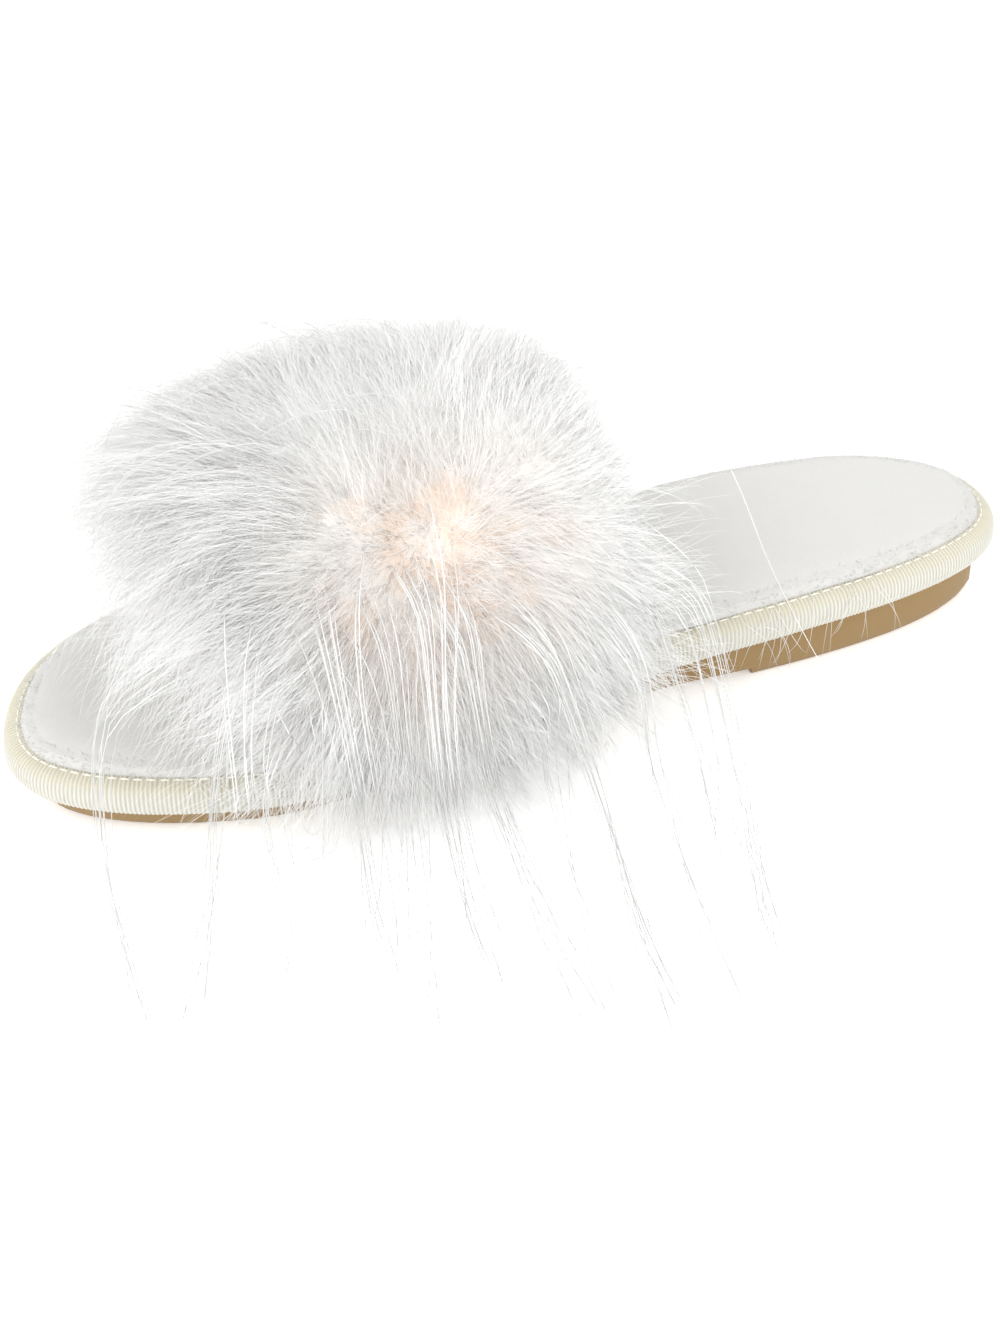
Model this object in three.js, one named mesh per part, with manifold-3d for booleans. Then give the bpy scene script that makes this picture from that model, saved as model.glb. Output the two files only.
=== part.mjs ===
// A right-foot slide slipper: a moulded sole with a low heel, a plush-faced padded insole whose edge is
// bound with ribbed ribbon, and an open-toed, open-backed band upper that carries long, deep fur.
// Millimetres. +X runs from the heel to the toe, +Y to the big-toe side, +Z up.
// The origin lies on the floor under the middle of the heel's tread.

import * as THREE from "three";
import { mergeVertices } from "three/addons/utils/BufferGeometryUtils.js";
import Module from "manifold-3d";

const wasm = await Module();
wasm.setup();

// Driving dimensions of the last and the sole
const footbedLength = 250;
const ballWidth = 88;
const waistWidth = 66;
const heelWidth = 62;
const foreSoleThickness = 5.2;
const heelSoleThickness = 12.1;
const toeSpring = 2.1;
const heelStep = 2.6; // how far the heel's tread stands below the waist of the sole
const heelBreastLean = 1.2;
const soleSideInset = 3.7; // the sole's wall lies inside the footbed's edge by this much
const soleEndInset = 5.6;
const soleWallDraft = 1.3;
const soleEdgeRound = 1.4;
const grooveWidth = 1.8;
const grooveDepth = 0.9;
const groovePitch = 9;
const grooveEdgeMargin = 9;

// Insole, ribbon and band
const insoleThickness = 12.6;
const pileRise = 3.6; // how far the plush stands over the padding that it covers
const ribbonHeight = 8.6;
const ribbonWall = 1.0;
const ribbonLap = 5.2; // width of ribbon that shows on top of the insole
const ribbonTuck = 9; // width of ribbon that is tucked under the insole
const bandWall = 2.5;
const bandMargin = 8; // width of band that is glued between ribbon and sole
const bandMarginWall = 1.0;
const instepHeight = 46; // clear height of the band over the insole at its back edge
const toeHeight = 36; // the same at its front edge
const seam = 0.3; // gap between pieces that meet

// Fur
const furDepth = 27; // thickness of the matted underfur over the crest of the band
const furSideDepth = 15; // the same beside the foot
const furBackReach = 8; // how far the underfur reaches behind the band
const furFrontReach = 20; // how far it reaches in front of the band
const furHang = 7; // how far it hangs below the band's foot
const lockLength = 25;
const lockWidth = 14;
const lockRoot = 5; // depth at which locks are rooted in the underfur
const lockTip = 0.6;
const guardLength = 52; // the stretch of a guard lock that comes down to the floor and lies there
const guardWidth = 2.6;
const furFloorGap = 1.8; // the lowest hair tips stop this far above the floor

// Places along the footbed, as shares of its length from the heel's tip
const placeShare = {
  heelRest: 0.12,
  heelBreast: 0.3,
  waistEnd: 0.53,
  foreRest: 0.7,
  toeSpringStart: 0.8,
  bandBackSide: 0.455,
  bandBackTop: 0.47,
  bandFrontSide: 0.695,
  bandFrontTop: 0.78,
};

// The footbed's outline: half widths, as shares of the named width's half, at shares of the length
const outlineRows = [
  { at: 0.02, width: heelWidth, inner: 0.5, outer: 0.45 },
  { at: 0.06, width: heelWidth, inner: 0.73, outer: 0.73 },
  { at: 0.12, width: heelWidth, inner: 0.9, outer: 0.93 },
  { at: 0.2, width: heelWidth, inner: 1.0, outer: 1.03 },
  { at: 0.3, width: waistWidth, inner: 0.975, outer: 1.015 },
  { at: 0.4, width: waistWidth, inner: 0.945, outer: 1.05 },
  { at: 0.5, width: waistWidth, inner: 0.97, outer: 1.12 },
  { at: 0.6, width: ballWidth, inner: 0.83, outer: 0.935 },
  { at: 0.7, width: ballWidth, inner: 0.94, outer: 1.01 },
  { at: 0.78, width: ballWidth, inner: 0.955, outer: 0.995 },
  { at: 0.86, width: ballWidth, inner: 0.86, outer: 0.87 },
  { at: 0.92, width: ballWidth, inner: 0.735, outer: 0.67 },
  { at: 0.965, width: ballWidth, inner: 0.575, outer: 0.4 },
  { at: 0.991, width: ballWidth, inner: 0.4, outer: 0.09 },
];
const toeTipShare = 0.17; // the toe's tip lies this share of the ball's half width to the inner side
const soleCuts = 3; // facets between two rows of the outline
const footbedCuts = 2;

const mix = THREE.MathUtils.lerp;
const ease = THREE.MathUtils.smoothstep;
const clamp = THREE.MathUtils.clamp;
const vec = (x, y, z) => new THREE.Vector3(x, y, z);
const xAt = (share) => (share - placeShare.heelRest) * footbedLength;
const shareAt = (x) => x / footbedLength + placeShare.heelRest;

// Repeatable scatter from -1 to 1
function scatter(seed) {
  const value = Math.sin(seed * 127.1 + 311.7) * 43758.5453;
  return 2 * (value - Math.floor(value)) - 1;
}

// Outline of the footbed, seen from above: heel tip, inner side, toe tip, outer side
const outline = new THREE.CatmullRomCurve3(
  [
    vec(xAt(0), 0, 0),
    ...outlineRows.map((row) => vec(xAt(row.at), (row.inner * row.width) / 2, 0)),
    vec(xAt(1), (toeTipShare * ballWidth) / 2, 0),
    ...outlineRows.map((row) => vec(xAt(row.at), (-row.outer * row.width) / 2, 0)).reverse(),
  ],
  true,
  "centripetal",
);

// Heights along the length: the underside of the tread, and the sole's top
function treadZ(x) {
  return toeSpring * ease(shareAt(x), placeShare.toeSpringStart, 1.05);
}
function soleTopZ(x) {
  const rise = 1 - ease(shareAt(x), 0.2, 0.62);
  return mix(foreSoleThickness, heelSoleThickness, rise) + treadZ(x);
}

// A ring of points inside the outline. The inset may differ between the sides and the two ends.
function ring(cuts, heightOf, sideInset, endInset = sideInset) {
  const count = outline.points.length * cuts;
  return Array.from({ length: count }, (_, i) => {
    const point = outline.getPoint(i / count);
    const along = outline.getTangent(i / count);
    const outward = vec(-along.y, along.x, 0).normalize();
    point.addScaledVector(outward, -mix(sideInset, endInset, outward.x ** 4));
    point.z = heightOf(point.x);
    return point;
  });
}
// Half width of the footbed at x, on its inner or outer side
function halfWidth(x, side) {
  const points = outlineRows.map((row) => vec(xAt(row.at), (row[side] * row.width) / 2, 0));
  const line = new THREE.CatmullRomCurve3(points, false, "centripetal");
  const held = clamp(x, points[0].x, points[points.length - 1].x);
  let low = 0;
  let high = 1;
  for (let halving = 0; halving < 24; halving++) {
    const middle = (low + high) / 2;
    if (line.getPoint(middle).x < held) low = middle;
    else high = middle;
  }
  return line.getPoint(low).y;
}

// Solids: points and triangles as a manifold-3d solid, and a solid as a named mesh
function solidOf(points, faces) {
  const geometry = new THREE.BufferGeometry().setFromPoints(points).setIndex(faces);
  const merged = mergeVertices(geometry, 1e-4);
  const kept = [];
  for (let i = 0; i < merged.index.count; i += 3) {
    const [a, b, c] = merged.index.array.slice(i, i + 3);
    if (a !== b && b !== c && c !== a) kept.push(a, b, c);
  }
  const vertProperties = merged.attributes.position.array;
  const make = (triangles) => {
    const triVerts = new Uint32Array(triangles);
    return new wasm.Manifold(new wasm.Mesh({ numProp: 3, vertProperties, triVerts }));
  };
  const solid = make(kept);
  return solid.volume() > 0 ? solid : make(kept.reverse());
}
function meshOf(name, solid, material) {
  const { vertProperties, triVerts } = solid.getMesh();
  const geometry = new THREE.BufferGeometry()
    .setAttribute("position", new THREE.BufferAttribute(vertProperties, 3))
    .setIndex(new THREE.BufferAttribute(triVerts, 1));
  geometry.computeVertexNormals();
  const mesh = new THREE.Mesh(geometry, material);
  mesh.name = name;
  return mesh;
}
// A solid through rings that have the same even number of points. Its ends are closed by a ladder
// between facing points, or else the last ring joins the first.
function loft(rings, closed = false) {
  const size = rings[0].length;
  const faces = [];
  const quad = (a, b, c, d) => faces.push(a, b, c, a, c, d);
  const spans = closed ? rings.length : rings.length - 1;
  for (let span = 0; span < spans; span++) {
    const here = span * size;
    const next = ((span + 1) % rings.length) * size;
    for (let i = 0; i < size; i++) {
      const k = (i + 1) % size;
      quad(here + i, here + k, next + k, next + i);
    }
  }
  if (!closed) {
    const end = (rings.length - 1) * size;
    for (let i = 0; i < size / 2; i++) {
      const next = i + 1;
      const facing = (size - i) % size;
      const facingNext = size - next;
      quad(next, i, facing, facingNext);
      quad(end + i, end + next, end + facingNext, end + facing);
    }
  }
  return solidOf(rings.flat(), faces);
}
// A prism of a side view, drawn in X and Z, that runs across the whole width of the shoe
function acrossWidth(drawing) {
  const width = 2 * ballWidth;
  const shape = new THREE.Shape(drawing.map(([x, z]) => new THREE.Vector2(x, z)));
  const prism = new THREE.ExtrudeGeometry(shape, { depth: width, bevelEnabled: false });
  prism.rotateX(Math.PI / 2).translate(0, width / 2, 0);
  const corners = prism.attributes.position;
  const points = Array.from({ length: corners.count }, (_, i) =>
    vec().fromBufferAttribute(corners, i),
  );
  return solidOf(points, [...points.keys()]);
}

// Outsole: a drafted wall with a rounded lower edge, hollowed under the waist so that the heel has a
// breast, with grooves across both treads
function makeSoleBody() {
  const soleRing = (heightOf, inset) =>
    ring(soleCuts, heightOf, soleSideInset + inset, soleEndInset + inset);
  const over = (height) => (x) => treadZ(x) + height;
  return loft([
    soleRing(over(0), soleWallDraft + soleEdgeRound),
    soleRing(over(0.35 * soleEdgeRound), soleWallDraft + 0.35 * soleEdgeRound),
    soleRing(over(soleEdgeRound), soleWallDraft),
    soleRing(over(0.8 * foreSoleThickness), 0.15 * soleWallDraft),
    soleRing(soleTopZ, 0),
  ]);
}
const waistCurveSteps = 8;
function makeWaistHollow() {
  const breast = xAt(placeShare.heelBreast);
  const end = xAt(placeShare.waistEnd);
  const shares = Array.from({ length: waistCurveSteps + 1 }, (_, i) => i / waistCurveSteps);
  const curve = shares.map((share) => [
    mix(breast + heelBreastLean, end, share),
    heelStep * (1 - ease(share, 0.15, 1)),
  ]);
  return acrossWidth([[breast, -heelStep], ...curve, [end, -heelStep]]);
}
// The grooves lie to both sides of each rest point, which stays flat
const treadFields = [
  { rest: placeShare.heelRest, behind: 2, ahead: 4 },
  { rest: placeShare.foreRest, behind: 4, ahead: 3 },
];
function makeGrooves() {
  const inset = soleSideInset + grooveEdgeMargin;
  const field = loft([
    ring(footbedCuts, () => -grooveDepth, inset),
    ring(footbedCuts, () => grooveDepth, inset),
  ]);
  const cuts = treadFields.flatMap(({ rest, behind, ahead }) =>
    Array.from({ length: behind + ahead }, (_, i) => {
      const middle = xAt(rest) + (i - behind + 0.5) * groovePitch;
      const [left, right] = [middle - grooveWidth / 2, middle + grooveWidth / 2];
      const reach = 2 * grooveDepth;
      return acrossWidth([[left, -reach], [right, -reach], [right, reach], [left, reach]]);
    }),
  );
  return cuts.reduce((all, cut) => all.add(cut)).intersect(field);
}

// Ribbon and insole share one edge profile: the inset from the outline, and the height over the sole.
// Its rows run up the outside, and the inner face is offset from it by the given wall.
const ribbonOuter = [
  { inset: ribbonTuck, z: seam },
  { inset: 0.26 * ribbonHeight, z: seam },
  { inset: 0.07 * ribbonHeight, z: 0.16 * ribbonHeight },
  { inset: 0, z: 0.46 * ribbonHeight },
  { inset: 0.05 * ribbonHeight, z: 0.76 * ribbonHeight },
  { inset: 0.22 * ribbonHeight, z: 0.94 * ribbonHeight },
  { inset: 0.49 * ribbonHeight, z: ribbonHeight },
  { inset: ribbonLap, z: 1.05 * ribbonHeight },
];
function ribbonInner(wall) {
  return [
    { inset: ribbonTuck, z: seam + wall },
    { inset: 0.2 * ribbonHeight + wall, z: seam + wall },
    { inset: 0.03 * ribbonHeight + wall, z: 0.3 * ribbonHeight },
    { inset: 0.03 * ribbonHeight + wall, z: 0.7 * ribbonHeight },
    { inset: 0.2 * ribbonHeight + wall, z: 0.94 * ribbonHeight - wall },
    { inset: 0.52 * ribbonHeight, z: ribbonHeight - wall },
    { inset: ribbonLap, z: 1.05 * ribbonHeight - wall },
  ];
}
const profileRing = ({ inset, z }) => ring(footbedCuts, (x) => soleTopZ(x) + z, inset);
function makeRibbon() {
  return loft([...ribbonOuter, ...ribbonInner(ribbonWall).reverse()].map(profileRing), true);
}
function makeInsole() {
  const edge = ribbonInner(ribbonWall + seam);
  const lapInset = ribbonLap + seam;
  const padding = insoleThickness - pileRise;
  const rows = [
    { inset: ribbonTuck + seam, z: seam },
    { inset: ribbonTuck + seam, z: edge[0].z },
    ...edge.slice(1, -1),
    { inset: lapInset, z: edge[edge.length - 1].z },
    { inset: lapInset, z: padding + 0.25 * pileRise },
    { inset: lapInset + 0.3 * pileRise, z: padding + 0.72 * pileRise },
    { inset: lapInset + 1.2 * pileRise, z: padding + 0.95 * pileRise },
    { inset: lapInset + 2.8 * pileRise, z: insoleThickness },
  ];
  return loft(rows.map(profileRing));
}

// Upper band. Its places are given by two shares: along runs from its back edge (0) to its front edge
// (1), and turn runs over the arch from the inner side (0) to the outer side (1).
const bandLength = (placeShare.bandFrontTop - placeShare.bandBackTop) * footbedLength;
const bandFoot = 0.55 * ribbonHeight; // the arch stands this high over the sole
const archFullness = 2.35; // 2 is an ellipse, and more is squarer
const archLean = 0.1; // the crest leans to the inner side by this share of the half width
const bandAlongs = [0, 0.17, 0.34, 0.5, 0.66, 0.83, 1];
const archTurns = [0, 0.06, 0.13, 0.2, 0.28, 0.36, 0.45, 0.54, 0.63, 0.71, 0.79, 0.86, 0.93, 1];
function bandX(along, turn) {
  const crest = Math.sin(Math.PI * turn);
  const back = mix(placeShare.bandBackSide, placeShare.bandBackTop, crest);
  const front = mix(placeShare.bandFrontSide, placeShare.bandFrontTop, crest);
  return xAt(mix(back, front, along));
}
// A point of the arch, grown outwards from the band's inner face
function archPoint(along, turn, grow) {
  const x = bandX(along, turn);
  const angle = Math.PI * turn;
  const inner = halfWidth(x, "inner") + seam + grow;
  const outer = halfWidth(x, "outer") + seam + grow;
  const crown = mix(instepHeight, toeHeight, along) + insoleThickness + grow;
  const round = (value) => Math.sign(value) * Math.abs(value) ** (2 / archFullness);
  const middle = (inner - outer) / 2 + archLean * outer * Math.sin(angle) ** 2;
  const y = middle + ((inner + outer) / 2) * round(Math.cos(angle));
  const z = soleTopZ(x) + bandFoot + (crown - bandFoot) * round(Math.sin(angle));
  return vec(x, y, z);
}
// A line round the band at one along: the glued margins, the turns under the ribbon, and the arch
function bandPath(along, { margin, under, grow }) {
  const edge = (side) => {
    const x = bandX(along, side > 0 ? 0 : 1);
    const half = halfWidth(x, side > 0 ? "inner" : "outer");
    const point = (inset, z) => vec(x, side * (half - inset), soleTopZ(x) + z);
    return [
      point(margin, under),
      point(0.14 * ribbonHeight, under),
      point(-seam - 0.7 * grow, 0.1 * ribbonHeight + 0.3 * under),
    ];
  };
  const arch = archTurns.map((turn) => archPoint(along, turn, grow));
  return [...edge(1), ...arch, ...edge(-1).reverse()];
}
// The band, or the space that it needs with the given clearance all round
function makeBand(clear = 0) {
  const margin = bandMargin + clear;
  const innerFace = { margin, under: clear, grow: -clear };
  const outerFace = { margin, under: -bandMarginWall - clear, grow: bandWall + clear };
  const inner = bandAlongs.map((along) => bandPath(along, innerFace));
  const outer = bandAlongs.map((along) => bandPath(along, outerFace));
  const rimRound = 0.24 * bandWall + clear;
  const rim = (end, i, push) => {
    const middle = inner.at(end)[i].clone().lerp(outer.at(end)[i], 0.5);
    return middle.setX(middle.x + push);
  };
  const rows = inner[0].map((_, i) => [
    rim(0, i, -rimRound),
    ...inner.map((path) => path[i]),
    rim(-1, i, rimRound),
    ...outer.map((path) => path[i]).reverse(),
  ]);
  return loft(rows);
}

// Fur: matted underfur over the band, with locks fused on. Its places use the band's along and turn,
// and run past 0 and 1 where the fur overhangs the band's edges or hangs below its foot.
const footTurnShare = 0.08; // turn runs this far past 0 and 1 at the lowest fur
const furSideShare = 0.4; // beside the foot, the fur in front of the band is this share as long
const furSagShare = 0.3; // fall of the overhanging fur, as a share of its reach past the band's edge
const furSweeps = [0, 0.1, 0.22, 0.36, 0.5, 0.64, 0.78, 0.9, 1];
const crestHeight = (turn) => Math.sin(Math.PI * clamp(turn, 0, 1));
function furPlace(along, turn, depth) {
  const heldAlong = clamp(along, 0, 1);
  const heldTurn = clamp(turn, 0, 1);
  const height = crestHeight(turn);
  const point = archPoint(heldAlong, heldTurn, bandWall + seam + depth);
  const past = (along - heldAlong) * bandLength;
  const reach = past < 0 ? past : past * mix(furSideShare, 1, height);
  point.x += reach;
  point.z -= furSagShare * Math.abs(reach) * height;
  point.z -= (furHang * Math.abs(turn - heldTurn)) / footTurnShare;
  return point;
}
// The underfur's outer face. Sweep runs over a slice from its back end (0) to its front end (1).
function sweepPlace(sweep, turn, sink = 0) {
  const angle = Math.PI * sweep;
  const ends = [-furBackReach / bandLength, 1 + furFrontReach / bandLength];
  const along = mix(...ends, (1 - Math.cos(angle)) / 2);
  const bulge = 0.15 + 0.85 * Math.sin(angle) ** 0.7 * mix(0.75, 1.1, sweep);
  const lump = 1 + 0.09 * Math.sin(9 * turn + 4 * along) + 0.07 * Math.sin(19 * turn - 6 * along);
  const thinning = turn < 0 || turn > 1 ? 0.55 : 1;
  const depth = mix(furSideDepth, furDepth, crestHeight(turn)) * thinning;
  return furPlace(along, turn, depth * bulge * lump - sink);
}
function makeUnderfur() {
  const rows = [-footTurnShare, ...archTurns, 1 + footTurnShare].map((turn) => {
    const inner = bandAlongs.map((along) => furPlace(along, turn, 0));
    const [back, ...outer] = furSweeps.map((sweep) => sweepPlace(sweep, turn));
    const front = outer.pop();
    return [back, ...inner, front, ...outer.reverse()];
  });
  return loft(rows);
}
// The two ways that hair takes: out of the underfur, then over it, away from its crest and down
function furWays(sweep, turn) {
  const step = 0.01;
  const at = sweepPlace(sweep, turn);
  const around = sweepPlace(sweep, turn + step).sub(at).normalize();
  const lengthwise = sweepPlace(sweep + step, turn).sub(at).normalize();
  const outward = around.clone().cross(lengthwise).normalize();
  const over = vec(0, 0, -0.3)
    .addScaledVector(around, 2.4 * (turn - 0.47))
    .addScaledVector(lengthwise, 1.8 * (sweep - 0.38));
  return { outward, over: over.normalize() };
}
// A lock along a curve, with a flat diamond section that tapers to the tip
function makeLock(curve, width, cuts) {
  const frames = curve.computeFrenetFrames(cuts, false);
  const rings = frames.tangents.map((_, i) => {
    const share = i / cuts;
    const half = mix(width, lockTip, share ** 1.4) / 2;
    const centre = curve.getPointAt(share);
    return [0, 1, 2, 3].map((corner) => {
      const angle = (corner * Math.PI) / 2;
      const point = centre
        .clone()
        .addScaledVector(frames.normals[i], half * Math.cos(angle))
        .addScaledVector(frames.binormals[i], 0.6 * half * Math.sin(angle));
      point.z = Math.max(point.z, furFloorGap + 0.15 * lockTip * corner);
      return point;
    });
  });
  return loft(rings);
}
const lockGrid = { around: 13, across: 8 };
function makeShortLock(i, k) {
  const seed = i * lockGrid.across + k;
  const turn = (i + 0.5 + 0.3 * scatter(seed)) / lockGrid.around;
  const sweep = (k + 0.5 + 0.3 * scatter(seed + 0.5)) / lockGrid.across;
  const root = sweepPlace(sweep, turn, lockRoot);
  const { outward, over } = furWays(sweep, turn);
  over.x += 0.3 * scatter(seed + 0.2);
  over.y += 0.3 * scatter(seed + 0.7);
  const reach = lockLength * mix(0.7, 1, crestHeight(turn)) * (1 + 0.2 * scatter(seed + 0.9));
  const point = (out, along) =>
    root.clone().addScaledVector(outward, out * reach).addScaledVector(over, along * reach);
  const curve = new THREE.QuadraticBezierCurve3(root, point(0.6, 0.1), point(0.7, 0.75));
  return makeLock(curve, lockWidth * (1 + 0.2 * scatter(seed + 0.4)), 2);
}
function makeShortLocks() {
  const around = Array.from({ length: lockGrid.around }, (_, i) => i);
  const across = Array.from({ length: lockGrid.across }, (_, k) => k);
  return around.flatMap((i) => across.map((k) => makeShortLock(i, k)));
}

// Long guard locks fall out of the underfur and spread over the floor, all the same way. Rows give where
// each one grows, and its tip on the floor as shares of the footbed's length and the ball's half width.
const guardRows = [
  { sweep: 0.88, turn: 0.3, tipAlong: 0.955, tipAcross: 2.05 },
  { sweep: 0.85, turn: 0.2, tipAlong: 0.924, tipAcross: 2.23 },
  { sweep: 0.82, turn: 0.1, tipAlong: 0.84, tipAcross: 2.4 },
  { sweep: 0.7, turn: 0.2, tipAlong: 0.756, tipAcross: 2.62 },
  { sweep: 0.62, turn: 0.1, tipAlong: 0.7, tipAcross: 2.45 },
  { sweep: 0.5, turn: 0.16, tipAlong: 0.628, tipAcross: 2.89 },
  { sweep: 0.43, turn: 0.08, tipAlong: 0.6, tipAcross: 2.7 },
  { sweep: 0.35, turn: 0.16, tipAlong: 0.568, tipAcross: 3.0 },
  { sweep: 0.22, turn: 0.1, tipAlong: 0.5, tipAcross: 2.95 },
  { sweep: 0.1, turn: 0.16, tipAlong: 0.472, tipAcross: 2.8 },
];
const guardLie = vec(0.35, 0.94, 0);
function makeGuardLock({ sweep, turn, tipAlong, tipAcross }) {
  const root = sweepPlace(sweep, turn, lockRoot);
  const tip = vec(xAt(tipAlong), (tipAcross * ballWidth) / 2, furFloorGap);
  const towards = (share, z) => tip.clone().addScaledVector(guardLie, -share * guardLength).setZ(z);
  const fall = towards(1, 0.36 * guardLength);
  const resting = towards(0.5, 2.6 * furFloorGap);
  const shoulder = root.clone().lerp(fall, 0.5);
  shoulder.addScaledVector(furWays(sweep, turn).outward, lockRoot);
  const curve = new THREE.CatmullRomCurve3([root, shoulder, fall, resting, tip]);
  return makeLock(curve, guardWidth, 8);
}
// The space that the fur keeps clear of: the footbed, grown by the seam gap
function makeFootbedSpace() {
  const rows = [
    { inset: ribbonTuck, z: -0.5 * foreSoleThickness },
    { inset: -seam, z: -0.5 * foreSoleThickness },
    { inset: -seam, z: 0.95 * ribbonHeight },
    { inset: 0.5 * ribbonLap, z: insoleThickness - 0.5 * pileRise },
    { inset: 1.3 * ribbonLap, z: insoleThickness + seam },
    { inset: 2 * ribbonLap, z: insoleThickness + 2 * seam },
  ];
  return loft(rows.map(profileRing));
}
function makeFur() {
  const locks = [...makeShortLocks(), ...guardRows.map(makeGuardLock)];
  const whole = locks.reduce((all, lock) => all.add(lock), makeUnderfur());
  const trimmed = whole.subtract(makeBand(0.9 * seam)).subtract(makeFootbedSpace());
  const bodies = trimmed.decompose();
  return bodies.reduce((most, body) => (body.volume() > most.volume() ? body : most));
}

// Materials
const rubber = new THREE.MeshStandardMaterial({ color: 0xc2a06a, roughness: 0.55, metalness: 0 });
const plush = new THREE.MeshStandardMaterial({ color: 0xf4f3ef, roughness: 0.95, metalness: 0 });
const grosgrain = new THREE.MeshStandardMaterial({ color: 0xf3eedb, roughness: 0.6, metalness: 0 });
const lining = new THREE.MeshStandardMaterial({ color: 0xf5f2ec, roughness: 0.8, metalness: 0 });
const longFur = new THREE.MeshStandardMaterial({ color: 0xfaf9f6, roughness: 0.9, metalness: 0 });

// Assembly: the band's glued margin is let into the sole's top
const outsole = makeSoleBody()
  .subtract(makeWaistHollow())
  .subtract(makeGrooves())
  .subtract(makeBand(seam));
const slipper = new THREE.Group();
slipper.add(
  meshOf("outsole", outsole, rubber),
  meshOf("insole", makeInsole(), plush),
  meshOf("edge_ribbon", makeRibbon(), grosgrain),
  meshOf("upper_band", makeBand(), lining),
  meshOf("fur", makeFur(), longFur),
);

export default slipper;
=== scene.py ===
# %% [markdown]
# # A slide slipper with a deep fur band
#
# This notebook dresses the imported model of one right-foot slipper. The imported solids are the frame: they
# say where each piece is and how large it may be. Every piece that is made here replaces one of them or grows
# out of one.
# Blender works in metres, and most sizes are written in millimetres times MM.

# %% Load the frame
import itertools
import math

import bmesh
import bpy
import numpy as np
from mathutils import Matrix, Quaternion, Vector, noise
from mathutils.bvhtree import BVHTree
from mathutils.kdtree import KDTree


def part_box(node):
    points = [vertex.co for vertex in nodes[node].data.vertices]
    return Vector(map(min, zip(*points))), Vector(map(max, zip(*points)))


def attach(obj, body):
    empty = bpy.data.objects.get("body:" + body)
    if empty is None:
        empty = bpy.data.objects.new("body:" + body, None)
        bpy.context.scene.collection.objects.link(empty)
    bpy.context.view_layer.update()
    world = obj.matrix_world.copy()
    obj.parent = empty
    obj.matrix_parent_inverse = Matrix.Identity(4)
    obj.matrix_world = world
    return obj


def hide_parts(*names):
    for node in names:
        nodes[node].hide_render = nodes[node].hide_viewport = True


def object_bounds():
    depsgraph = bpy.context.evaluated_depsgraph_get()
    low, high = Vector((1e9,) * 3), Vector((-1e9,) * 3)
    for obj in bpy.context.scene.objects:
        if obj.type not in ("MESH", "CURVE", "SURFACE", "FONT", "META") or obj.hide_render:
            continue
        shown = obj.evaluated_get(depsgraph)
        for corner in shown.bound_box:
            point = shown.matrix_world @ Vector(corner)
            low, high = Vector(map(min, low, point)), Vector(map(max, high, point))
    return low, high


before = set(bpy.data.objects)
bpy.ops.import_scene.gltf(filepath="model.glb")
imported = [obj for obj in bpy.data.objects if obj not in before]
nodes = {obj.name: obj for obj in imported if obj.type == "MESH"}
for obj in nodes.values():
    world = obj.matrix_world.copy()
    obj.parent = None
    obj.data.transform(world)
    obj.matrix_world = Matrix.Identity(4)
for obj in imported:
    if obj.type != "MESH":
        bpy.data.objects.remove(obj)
cad_low, cad_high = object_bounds()
MM = 0.001
print("frame:", ", ".join(sorted(nodes)))

# %% [markdown]
# ## The camera
#
# The photograph looks down on the big-toe side with the toe to the left. The camera's place was fitted to the
# outline of the footbed. It is set by the point that it looks at, the angle round that point, the angle above
# the floor, a small roll and the distance.

# %% Camera
IMAGE_HEIGHT = 1333
looks_at = Vector((99.92, 0, -0.81)) * MM
azimuth, elevation, roll = (math.radians(angle) for angle in (159.6, 35.51, -0.9))
distance = 575.93 * MM
focal_pixels = 2387.2

back = Vector((
    math.sin(azimuth) * math.cos(elevation),
    -math.cos(azimuth) * math.cos(elevation),
    math.sin(elevation),
))
camera = bpy.data.objects.new("camera", bpy.data.cameras.new("camera"))
bpy.context.scene.collection.objects.link(camera)
camera.data.sensor_width = 36
camera.data.lens = focal_pixels / IMAGE_HEIGHT * camera.data.sensor_width
camera.data.clip_start = 10 * MM
camera.rotation_mode = "QUATERNION"
camera.rotation_quaternion = Quaternion(back, roll) @ (-back).to_track_quat("-Z", "Y")
camera.location = looks_at + back * distance
bpy.context.scene.camera = camera
print("camera stands", round(distance / MM), "mm from the slipper")

# %% [markdown]
# ## Light
#
# White fur is shaded by light that comes from all sides, so most of the light is a white surrounding.
# One large soft lamp beyond the toe models the dome, a weaker one lights the heel, and one beside the camera
# fills the shadows between the hairs. The floor is a white sweep that glows a little, as a lit studio sweep
# does, and is not part of the slipper.

# %% Surroundings, lamps and floor
scene = bpy.context.scene
scene.view_settings.view_transform = "Standard"
scene.world = bpy.data.worlds.new("surroundings")
scene.world.use_nodes = True
sky = scene.world.node_tree.nodes["Background"]
sky.inputs["Color"].default_value = (1, 1, 1, 1)
sky.inputs["Strength"].default_value = 1.14


def lamp(name, place, size, power):
    light = bpy.data.lights.new(name, "AREA")
    light.shape = "DISK"
    light.size = size
    light.energy = power
    holder = bpy.data.objects.new(name, light)
    holder.location = place
    holder.rotation_mode = "QUATERNION"
    holder.rotation_quaternion = (looks_at - Vector(place)).to_track_quat("-Z", "Y")
    scene.collection.objects.link(holder)


lamp("key_lamp", (1.0, 0.5, 1.1), 0.9, 4.4)
lamp("heel_lamp", (-0.6, -0.5, 1.2), 0.9, 0.4)
lamp("front_lamp", (0.3, 1.3, 0.7), 0.9, 4.0)

floor_bm = bmesh.new()
bmesh.ops.create_grid(floor_bm, x_segments=1, y_segments=1, size=4)
floor_mesh = bpy.data.meshes.new("floor")
floor_bm.to_mesh(floor_mesh)
floor_bm.free()
floor = bpy.data.objects.new("floor", floor_mesh)
scene.collection.objects.link(floor)

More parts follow.
